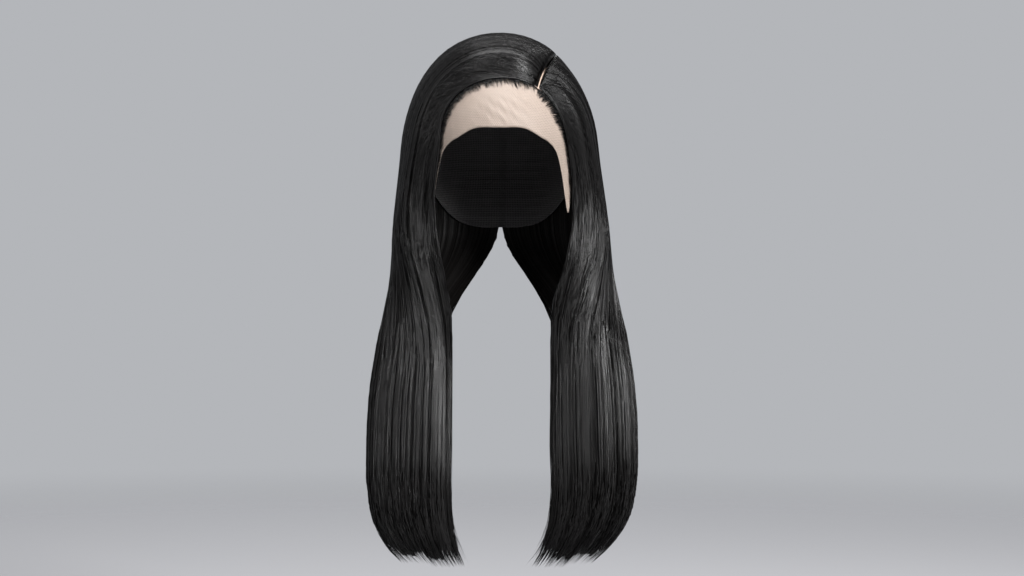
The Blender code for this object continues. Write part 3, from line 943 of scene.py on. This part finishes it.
def edge_retreat(round_, station):
    """How far the mass of hair stands back from the hairline over the brow, where only fine roots grow."""
    return RETREAT * (1 - smooth(round_ / 0.14)) * (1 - smooth((station - 0.70) / 0.45))


def inner_edge(round_):
    """1 at the inner edges of a fall, where round is 0 or 1, and 0 away from them. There the mass of hair
    ends early and its last strands hang in separate tresses."""
    return 1 - smooth(np.minimum(round_, 1 - round_) / INNER_EDGE)


def lock_shell(side, name, first, last, length, finish):
    """The mass of one lock: an outer face with the hair's ridges, an inner one, and a hem that closes them.
    Face = hair point at a depth, moved out by the ridges. The depth goes from 0 or 1 towards the middle at
    the hem."""
    rounds = np.linspace(first + LOCK_GAP, last - LOCK_GAP, int(20 + 200 * (last - first)))[None, :]
    uneven = 0.006 * noise(rounds * 90, SIDES[side]["seed"] + 20) + 0.004 * noise(rounds * 260, 5)
    hem = length - MASS_SHORT + uneven - MASS_SHORT_AT_EDGE * inner_edge(rounds)
    share = np.concatenate([np.linspace(0, 0.48, 30), np.linspace(0.5, 1, 30)])[:, None]
    stations = np.where(share < 0.5, share / 0.5, 1 + (share - 0.5) / 0.5 * hem)
    rounds = rounds + edge_retreat(rounds, stations) * (0.75 + 0.25 * noise(stations * 40, 9))
    closing = smooth((stations - 1 - hem + MASS_CLOSING) / MASS_CLOSING)
    outer, out = hair_lines(side, rounds, stations, 0.40 * closing)
    raised = ROOTS_RAISED * parting_filled(side, rounds) * np.exp(-stations / 0.03)
    sunk = MASS_SUNK - raised
    outer = outer + out * (ridge_height(side, rounds, stations) - sunk)[..., None]
    inner, _ = hair_lines(side, rounds, stations, 1 - 0.40 * closing)
    points, quads = slab(outer, inner, SIDES[side]["sign"] > 0)
    flat = np.stack(np.broadcast_arrays(rounds * 0.25, stations * 0.28), axis=-1).reshape(-1, 2)
    piece = new_piece(f"lock_{side}_{name}", points, quads, [], finish, np.concatenate([flat, flat]))
    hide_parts(f"hair_{side}_{name}")
    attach(piece, BODY)


def strand_shares(side, shift):
    """Where a strand's points lie, in shares of its length: close together on the form and at both ends.
    Each strand's are shifted by its own part of a step, so that the bends of neighbours don't line up."""
    dome = 0.022 + 0.50 * np.linspace(0, 1, SIDES[side]["bends"]) ** 1.2
    steps = np.concatenate([[0.0, 0.012], dome, np.linspace(0.56, 0.95, 9), [0.985, 1.0]])[None, :]
    inside = np.ones_like(steps)
    inside[:, [0, 1, -2, -1]] = 0
    return steps + np.gradient(steps, axis=1) * inside * shift


def lock_strands(side, name, first, last, length, share, sizes, finish):
    """The strands that lie on one lock, from the parting to the hem. A strand's place round the side is
    drawn towards the middle of its tress as it falls: place + (tress - place) * drawn + sway. Its height is
    the ridges' height plus its own, and some of the strands sink into the lock near the hem."""
    # Where each strand starts and ends, and how it draws into its tress on the way down
    wave = SIDES[side]["seed"] + 200
    seed = SIDES[side]["seed"] + int(first * 100)
    random = np.random.default_rng(seed)
    count = int(sizes.strands * share)
    place = first + (last - first) * (np.arange(count) + random.uniform(0, 1, count)) / count
    number = np.floor(place * TRESSES)
    tress = (number + 0.5 + 0.5 * noise(number, seed + 1)) / TRESSES
    along = strand_shares(side, random.uniform(-0.45, 0.45, count)[:, None])
    end = 1 + length + 0.002 - sizes.hem_scatter / FALL_LENGTH * random.uniform(0, 1, count) ** 1.7
    begin = random.uniform(0.0, 0.012, count)
    station = begin[:, None] + (end - begin)[:, None] * along
    drawn = (0.10 + 0.40 * random.uniform(0, 1, count))[:, None] * smooth((station - 0.9) / 1.0)
    drawn = drawn + 0.50 * inner_edge(place)[:, None] * smooth((station - 1.45) / 0.4)
    sway = 0.0024 * noise(station * 1.7 + random.uniform(0, 500, count)[:, None], seed + 2)
    round_ = place[:, None] + (tress - place)[:, None] * drawn + sway * smooth(station)
    round_ = round_ + edge_retreat(round_, station) * random.uniform(0.2, 1.1, count)[:, None]
    round_ = np.clip(round_, 0.0, 1.0)
    # How high it lies: some sink into the lock, and near the parting all lie low
    deep = np.where(random.uniform(0, 1, count) < 0.16, random.uniform(0, 0.8, count), 0.0)
    depth = deep[:, None] * smooth((station - 1.3) / 0.5)
    lines, out = hair_lines(side, round_, station, depth)
    grown = 0.3 + 0.7 * smooth((station - 0.4) / 0.8)
    shared = (0.15 + 0.30 * noise(place * 150, wave + 4))[:, None]
    own = (shared + 0.30 * random.uniform(-1, 1, count)[:, None] * grown) * MM
    sunk = 0.9 * MM * np.exp(-station / 0.012) * (1 - parting_filled(side, round_))
    rise = ridge_height(side, round_, station) + own - 0.25 * MM - sunk
    lines = lines + out * rise[..., None]
    # How wide, high and light it is
    width = tapered(along, sizes.strand_width * random.uniform(0.65, 1.15, count), 0.03, 0.07)
    width = width * (0.55 + 0.45 * smooth(station / 0.9))
    height = width * (sizes.strand_height / sizes.strand_width)
    tint = 0.38 + 0.15 * noise(place * 50, wave + 3) + 0.25 * noise(place * 220, wave + 5)
    tint = np.clip(tint + 0.25 * random.normal(0, 1, count), 0, 1)
    piece = strand_mesh(f"strands_{side}_{name}", lines, out, width, height, tint, finish)
    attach(piece, BODY)


class WIG_OT_locks(bpy.types.Operator):
    """Makes the five locks of each side: the mass of each lock and the strands on it"""

    bl_idname = "wig.locks"
    bl_label = "Locks of hair"

    def execute(self, context):
        sizes, colours = context.scene.wig_sizes, context.scene.wig_colours
        mass = kept("hair_mass", lock_finish, colours)
        strands = kept("hair_strands", strand_finish, colours)
        for side in SIDES:
            for name, first, last, length, share in LOCKS:
                lock_shell(side, name, first, last, length, mass)
                lock_strands(side, name, first, last, length, share, sizes, strands)
        return {"FINISHED"}


def hairline_roots(side, count, sizes, finish):
    """Fine strands that grow out of the lace in front of the mass of hair. Each starts forward of the
    hair's front edge and down on the lace, and both distances die away as e^(-t / 0.1), while its place
    round the side grows as end * (1 - e^(-3 t))."""
    seed = SIDES[side]["seed"] + 300
    random = np.random.default_rng(seed)
    t = np.linspace(0, 1, 11)[None, :] ** 1.7
    start = random.uniform(0.0, 1.0, count)[:, None] ** 0.9 * 1.08
    station = start + random.uniform(0.14, 0.34, count)[:, None] * t
    end = random.uniform(0.03, 0.12, count)[:, None]
    round_ = end * (1 - np.exp(-3 * t))
    lines, out = hair_lines(side, round_, station)
    step = 0.004
    back = unit(hair_lines(side, round_ + step, station)[0] - lines)
    forward = sizes.fringe * random.uniform(0, 1, count)[:, None] ** 1.25 - 0.5 * MM
    forward = forward + 0.8 * MM * noise(start * 30, 1)
    forward = forward * np.exp(-t / 0.10) * (1 - 0.6 * smooth((start - 0.55) / 0.4))
    sink = 2.9 * MM * np.exp(-t / 0.10) - random.uniform(0.1, 0.6, count)[:, None] * MM
    rise = ridge_height(side, round_, station) * smooth(t * 2)
    lines = lines + out * (rise - sink)[..., None] - back * forward[..., None]
    width = tapered(t, 0.55 * MM * random.uniform(0.5, 1.1, count), 0.15, 0.5)
    tint = np.clip(0.55 + 0.25 * random.normal(0, 1, count), 0, 1)
    piece = strand_mesh(f"hairline_{side}", lines, out, width, width * 0.5, tint, finish)
    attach(piece, BODY)


class WIG_OT_hairline(bpy.types.Operator):
    """Makes the fine strands that grow out of the lace along the hairline"""

    bl_idname = "wig.hairline"
    bl_label = "Hairline"

    def execute(self, context):
        sizes, colours = context.scene.wig_sizes, context.scene.wig_colours
        finish = kept("hair_strands", strand_finish, colours)
        for side, entry in SIDES.items():
            hairline_roots(side, entry["roots"], sizes, finish)
        return {"FINISHED"}


def loose_strands(name, side, round_, first, last, drift, width, finish):
    """Fine loose strands. Place = hair point at round and station, moved drift * s^2 sideways in a slight
    wave, where s is the share of the strand's length."""
    share = np.linspace(0, 1, 12)[None, :]
    station = first[:, None] + (last - first)[:, None] * share
    lines, out = hair_lines(side, np.broadcast_to(round_[:, None], station.shape), station)
    bent = drift[:, None] * share**2 * (1 + 0.25 * np.sin(share * 5 + round_[:, None] * 300))
    lines = lines + np.stack([bent, 0.3 * bent, 0 * bent], axis=-1) + out * 0.2 * MM
    widths = tapered(share, width, 0.2, 0.5)
    piece = strand_mesh(name, lines, out, widths, widths * 0.5, np.full(len(round_), 0.5), finish)
    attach(piece, BODY)


class WIG_OT_loose_ends(bpy.types.Operator):
    """Makes the fine loose strands at the hem, along the inner edges, and along the whole outer edges"""

    bl_idname = "wig.loose_ends"
    bl_label = "Loose ends"

    def execute(self, context):
        sizes, colours = context.scene.wig_sizes, context.scene.wig_colours
        finish = kept("hair_strands", strand_finish, colours)
        random = np.random.default_rng(91)
        for side, entry in SIDES.items():
            count = sizes.loose_ends
            inner = np.arange(count) < count * 0.7
            round_ = np.where(inner, random.uniform(0.0, 0.05, count), random.uniform(0.42, 0.56, count))
            first = random.uniform(1.55, 1.86, count)
            last = random.uniform(1.94, 2.0, count)
            inwards = random.uniform(1.0, 7.0, count) * MM
            outwards = random.uniform(0.5, 3.0, count) * MM
            drift = np.where(inner, -inwards, outwards) * entry["sign"]
            width = random.uniform(0.35, 0.8, count) * MM
            high = ~inner & (random.random(count) < 0.6)
            first = np.where(high, random.uniform(0.95, 1.35, count), first)
            last = np.where(high, first + random.uniform(0.25, 0.45, count), last)
            loose_strands(f"loose_ends_{side}", side, round_, first, last, drift, width, finish)
        return {"FINISHED"}


def cap_arc(level):
    """Distance down the cap from the crown to a level, along the middle of its back."""
    return np.minimum(level, 1) * CROWN_HEIGHT * math.pi / 2 + np.maximum(level - 1, 0) * NAPE_DEPTH


class WIG_OT_cap(bpy.types.Operator):
    """Makes the stretch net cap: the form it fits, lifted by its rows of wefts and by its folded edge"""

    bl_idname = "wig.cap"
    bl_label = "Cap"

    def execute(self, context):
        sizes, colours = context.scene.wig_sizes, context.scene.wig_colours
        columns, rows = CAP_POINTS
        turns = np.linspace(-math.pi, math.pi, columns + 1)[:-1][None, :]
        edge = follow(CAP_EDGE, "level", np.degrees(np.abs(turns)))
        share = np.linspace(0.006, 1, rows)[:, None]
        level = share * edge
        arc = cap_arc(level)
        weft = np.maximum(np.cos(arc / sizes.weft_pitch * 2 * math.pi), 0) ** 6
        weft = weft * smooth((level - 0.30) / 0.1)
        fold = smooth((cap_arc(level) - cap_arc(edge) + CAP_FOLD_WIDTH) / (0.6 * MM))
        rise = sizes.weft_height * weft * (1 - fold) + CAP_FOLD * fold
        outer = on_form(level, turns, CAP_WALL - CAP_WEFT_ROOM + np.minimum(rise, CAP_WEFT_ROOM))
        inner = on_form(level, turns, CAP_INSIDE - rise)
        count = rows * columns
        grid = np.arange(count).reshape(rows, columns)
        after = np.roll(grid, -1, axis=1)
        face = ring_quads(grid)
        hem = np.stack([grid[-1], grid[-1] + count, after[-1] + count, after[-1]], axis=-1)
        quads = np.concatenate([face, face[:, ::-1] + count, hem])
        crown = np.stack([grid[0], after[0], np.full(columns, 2 * count)], axis=-1)
        inside = np.stack([after[0] + count, grid[0] + count, np.full(columns, 2 * count + 1)], axis=-1)
        crowns = np.array([[0, 0, CAP_WALL - CAP_WEFT_ROOM], [0, 0, CAP_INSIDE]])
        points = np.concatenate([outer.reshape(-1, 3), inner.reshape(-1, 3), crowns])
        flat = np.stack(np.broadcast_arrays(turns * HALF_WIDTH, arc), axis=-1).reshape(-1, 2)
        uv = np.concatenate([flat, flat, [[0, 0], [0, 0]]])
        finish = kept("cap_stretch_net", cap_finish, colours)
        piece = new_piece("cap_net", points, quads, np.concatenate([crown, inside]), finish, uv)
        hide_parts("cap")
        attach(piece, BODY)
        return {"FINISHED"}


def cap_level(arc):
    """The level at a distance down the cap from the crown: cap_arc the other way round."""
    dome = CROWN_HEIGHT * math.pi / 2
    return np.where(arc < dome, arc / dome, 1 + (arc - dome) / NAPE_DEPTH)


def lace_grid(columns, rows):
    """Levels and turns of the lace front: columns at equal steps along its front edge, and rows from the
    seam with the cap to that edge."""
    fine = np.linspace(0, LACE_EDGE["turn"][-1], 200)
    edge_line = on_form(follow(LACE_EDGE, "level", fine), np.radians(fine), 0.0)
    length = walked(edge_line)
    half = np.interp(np.linspace(0, length[-1], columns // 2 + 1), length, fine)
    degrees = np.concatenate([-half[:0:-1], half])
    seam = follow(CAP_EDGE, "level", np.abs(degrees)) + EDGE_GAP / CROWN_HEIGHT * 2 / math.pi
    edge = follow(LACE_EDGE, "level", np.abs(degrees))
    share = np.linspace(0, 1, rows)[:, None]
    return seam + (edge - seam) * share, np.broadcast_to(np.radians(degrees), (rows, len(degrees)))


def lace_wrinkle(level, turn, height):
    """Height of the soft slanting wrinkles over the brow: the sum of two waves, times a window that is 1 in
    the middle of the brow and dies away round it."""
    x, y = turn * HALF_WIDTH, cap_arc(level)
    wave = np.sin((y * 0.8 - x * 0.6) / (1.6 * MM)) + 0.5 * np.sin((y * 0.5 - x * 0.9) / (1.0 * MM) + 1.0)
    window = np.exp(-(((x - 6 * MM) / (26 * MM)) ** 2) - ((y - cap_arc(0.78)) / (15 * MM)) ** 2)
    return height * 0.6 * (1 + wave / 1.5) * window


def hairline_levels():
    """Turns and levels of the hair's front edge over the brow, from the wearer's right to their left."""
    way = np.linspace(0, 1, 60)
    turns, levels = [], []
    for side, order in (("right", -1), ("left", 1)):
        line = hair_on_dome(side, np.zeros(60), way, False)[::order]
        reach = line / np.array([HALF_WIDTH, HALF_LENGTH, CROWN_HEIGHT]) + np.array([0, 0, 1])
        turns.append(np.arctan2(reach[:, 0], -reach[:, 1]))
        levels.append(np.arccos(np.clip(unit(reach)[:, 2], 0, 1)) / (math.pi / 2))
    return np.concatenate(turns), np.concatenate(levels)


def lace_shows(level, turn):
    """Whether a place of the lace lies in front of the hair, or just under its front edge."""
    turns, levels = hairline_levels()
    over_brow = level > np.interp(turn, turns, levels) - 0.03
    drop = np.maximum(level - 1, 0) * NAPE_DEPTH / FALL_LENGTH
    front = np.where(turn < 0, turn_round_form("right", 0.0, drop), turn_round_form("left", 0.0, drop))
    beside = np.abs(turn) < front + np.radians(3)
    edge = follow(LACE_EDGE, "level", np.degrees(np.abs(turn)))
    return np.where(level < 1, over_brow & beside, beside) & (level < edge - 0.002)


def hexagon_corners(x, y, radius, degrees):
    """One corner of each hexagon about x, y: x + radius * cos(angle), y + radius * sin(angle)."""
    angle = math.radians(degrees)
    corners = np.stack([x + radius * math.cos(angle), y + radius * math.sin(angle)], axis=-1)
    return corners.reshape(-1, 2)


class WIG_OT_lace_front(bpy.types.Operator):
    """Makes the sheer lace front with its ear tabs, and the open hexagonal net that shows on it"""

    bl_idname = "wig.lace_front"
    bl_label = "Lace front"

    def execute(self, context):
        sizes, colours = context.scene.wig_sizes, context.scene.wig_colours
        level, turn = lace_grid(*LACE_POINTS)
        lift = 0.05 * MM + lace_wrinkle(level, turn, sizes.wrinkle)
        outer = on_form(level, turn, lift + sizes.lace_wall)
        inner = on_form(level, turn, lift)
        points, quads = slab(outer, inner, True)
        sheet = new_piece("lace_sheet", points, quads, [], kept("lace_sheer", lace_finish, colours))
        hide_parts("lace_front")
        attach(sheet, BODY)
        net = self.net(sizes, kept("lace_yarn", yarn_finish, colours))
        return {"FINISHED"}

    def net(self, sizes, finish):
        """Threads along the sides of hexagons on the lace laid flat: x is the turn times half the width,
        and y the arc from the crown. Each is a closed three-sided bar."""
        pitch = sizes.net_pitch
        column, row = np.arange(-64, 65)[:, None], np.arange(26, 160)[None, :]
        x = column * pitch + (row % 2) * pitch / 2
        y = np.broadcast_to(row * pitch * 0.866, x.shape)
        radius = pitch / math.sqrt(3)
        starts = np.concatenate([hexagon_corners(x, y, radius, first) for first, _ in HEXAGON_SIDES])
        ends = np.concatenate([hexagon_corners(x, y, radius, second) for _, second in HEXAGON_SIDES])
        flat = np.stack([starts, ends], axis=1)
        turn = flat[..., 0] / HALF_WIDTH
        level = cap_level(flat[..., 1])
        shown = lace_shows(level, turn).all(axis=1)
        level, turn = level[shown], turn[shown]
        lift = lace_wrinkle(level, turn, sizes.wrinkle) + sizes.lace_wall + 0.02 * MM
        line = on_form(level, turn, lift)
        out = unit(on_form(level, turn, lift + MM) - line)
        along = unit(line[:, 1:] - line[:, :1])
        sideways = np.cross(along, out) * sizes.net_thread / 2
        ring = np.stack([line + out * sizes.net_thread, line - sideways, line + sideways], axis=2)
        shift = (np.arange(len(ring)) * 6)[:, None, None]
        sides = np.array([[k, k + 3, (k + 1) % 3 + 3, (k + 1) % 3] for k in range(3)])[None] + shift
        caps = np.array([[0, 1, 2], [5, 4, 3]])[None] + shift
        net = new_piece("lace_net", ring.reshape(-1, 3), sides, caps, finish)
        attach(net, BODY)
        return net


class WIG_OT_parting(bpy.types.Operator):
    """Makes the strip of lace that shows along the parting: its line, widened to either side"""

    bl_idname = "wig.parting"
    bl_label = "Parting"

    def execute(self, context):
        along = np.linspace(0.0, 1.0, 200)
        length = walked(on_dome(parting_way(along), CAP_WALL))
        columns, rows = PARTING_POINTS
        along = np.interp(np.linspace(0.0, PARTING_LACE_LENGTH, rows), length, along)[:, None]
        share = np.linspace(-0.5, 0.5, columns)[None, :]
        aside = (share * PARTING_LACE_WIDTH / HALF_WIDTH)[..., None]
        way = unit(parting_way(along) + parting_side(along) * aside)
        uneven = 0.08 * MM * noise(along * 60, 3) + 0.05 * MM * noise(share * 40 + along * 9, 4)
        outer = on_dome(way, PARTING_LACE_TOP + uneven)
        inner = on_dome(way, np.full(uneven.shape, PARTING_LACE_TOP - PARTING_LACE_WALL))
        points, quads = slab(outer, inner, False)
        flat = np.stack(np.broadcast_arrays(share + 0.5, along * 10), axis=-1).reshape(-1, 2)
        finish = kept("parting_lace_skin", parting_finish, context.scene.wig_colours)
        piece = new_piece("parting_strip", points, quads, [], finish, np.concatenate([flat, flat]))
        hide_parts("parting_lace")
        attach(piece, BODY)
        return {"FINISHED"}


def aim(position, target):
    """A placement at position whose -Z axis looks at target."""
    turned = (Vector(target) - Vector(position)).to_track_quat("-Z", "Y").to_matrix().to_4x4()
    return Matrix.Translation(position) @ turned


def softbox(name, position, size, power):
    """A rectangular soft light that faces the wig."""
    light = bpy.data.lights.new(name, "AREA")
    light.shape = "RECTANGLE"
    light.size, light.size_y = size
    light.energy = power
    lamp = bpy.data.objects.new(name, light)
    bpy.context.scene.collection.objects.link(lamp)
    lamp.matrix_world = aim(position, LIT_POINT)


class WIG_OT_stage(bpy.types.Operator):
    """Makes the pale floor, the camera at the photograph's angle and the soft lights"""

    bl_idname = "wig.stage"
    bl_label = "Stage"

    def execute(self, context):
        values = context.scene.wig_stage
        corners, rings = FLOOR_POINTS
        round_ = np.linspace(0, 2 * math.pi, corners + 1)[:-1]
        reach = values.floor_reach
        radius = np.linspace(0, 1, rings + 1)[1:, None, None] * reach
        disc = np.stack([np.cos(round_), np.sin(round_), 0 * round_], axis=-1)[None] * radius
        disc[..., 2] = -values.floor_drop
        grid = np.arange(rings * corners).reshape(rings, corners)
        fan = np.stack([np.full(corners, rings * corners), grid[0], np.roll(grid[0], -1)], axis=-1)
        points = np.concatenate([disc.reshape(-1, 3), [[0.0, 0.0, -values.floor_drop]]])
        floor = new_piece("floor", points, ring_quads(grid), fan, floor_finish(values.floor_colour, reach))

        lens = bpy.data.cameras.new("camera")
        lens.lens, lens.sensor_width = LENS, SENSOR_WIDTH
        camera = bpy.data.objects.new("camera", lens)
        context.scene.collection.objects.link(camera)
        position = Vector((values.camera_side, -values.camera_distance, -values.camera_drop))
        camera.matrix_world = Matrix.Translation(position) @ Matrix.Rotation(math.pi / 2, 4, "X")
        context.scene.camera = camera

        for name, (position, size) in LIGHTS.items():
            softbox(name, position, size, getattr(values, f"{name}_power"))
        world = bpy.data.worlds.new("soft_sky")
        world.use_nodes = True
        background = world.node_tree.nodes["Background"]
        background.inputs["Color"].default_value = SKY_COLOUR
        background.inputs["Strength"].default_value = values.sky
        context.scene.world = world
        context.scene.view_settings.view_transform = "Standard"
        return {"FINISHED"}


class WIG_PT_panel(bpy.types.Panel):
    """Lists the wig's pieces in the order that they are made in"""

    bl_label = "Lace front wig"
    bl_idname = "WIG_PT_panel"
    bl_space_type = "VIEW_3D"
    bl_region_type = "UI"
    bl_category = "Wig"

    def draw(self, context):
        for operator in OPERATORS:
            self.layout.operator(operator.bl_idname)
        for group in (context.scene.wig_sizes, context.scene.wig_colours, context.scene.wig_stage):
            for name in group.__annotations__:
                self.layout.prop(group, name)


OPERATORS = (
    WIG_OT_stage,
    WIG_OT_cap,
    WIG_OT_lace_front,
    WIG_OT_parting,
    WIG_OT_locks,
    WIG_OT_hairline,
    WIG_OT_loose_ends,
)
CLASSES = (WigSizes, WigColours, WigStage, *OPERATORS, WIG_PT_panel)


def register():
    """Makes the classes and the wig's values known."""
    for made in CLASSES:
        bpy.utils.register_class(made)
    bpy.types.Scene.wig_sizes = PointerProperty(type=WigSizes)
    bpy.types.Scene.wig_colours = PointerProperty(type=WigColours)
    bpy.types.Scene.wig_stage = PointerProperty(type=WigStage)


def unregister():
    """Takes them away again, in the opposite order."""
    del bpy.types.Scene.wig_stage
    del bpy.types.Scene.wig_colours
    del bpy.types.Scene.wig_sizes
    for made in reversed(CLASSES):
        bpy.utils.unregister_class(made)


def main():
    """Makes every piece in order."""
    register()
    bpy.ops.wig.stage()
    bpy.ops.wig.cap()
    bpy.ops.wig.lace_front()
    bpy.ops.wig.parting()
    bpy.ops.wig.locks()
    bpy.ops.wig.hairline()
    bpy.ops.wig.loose_ends()


if __name__ == "__main__":
    main()
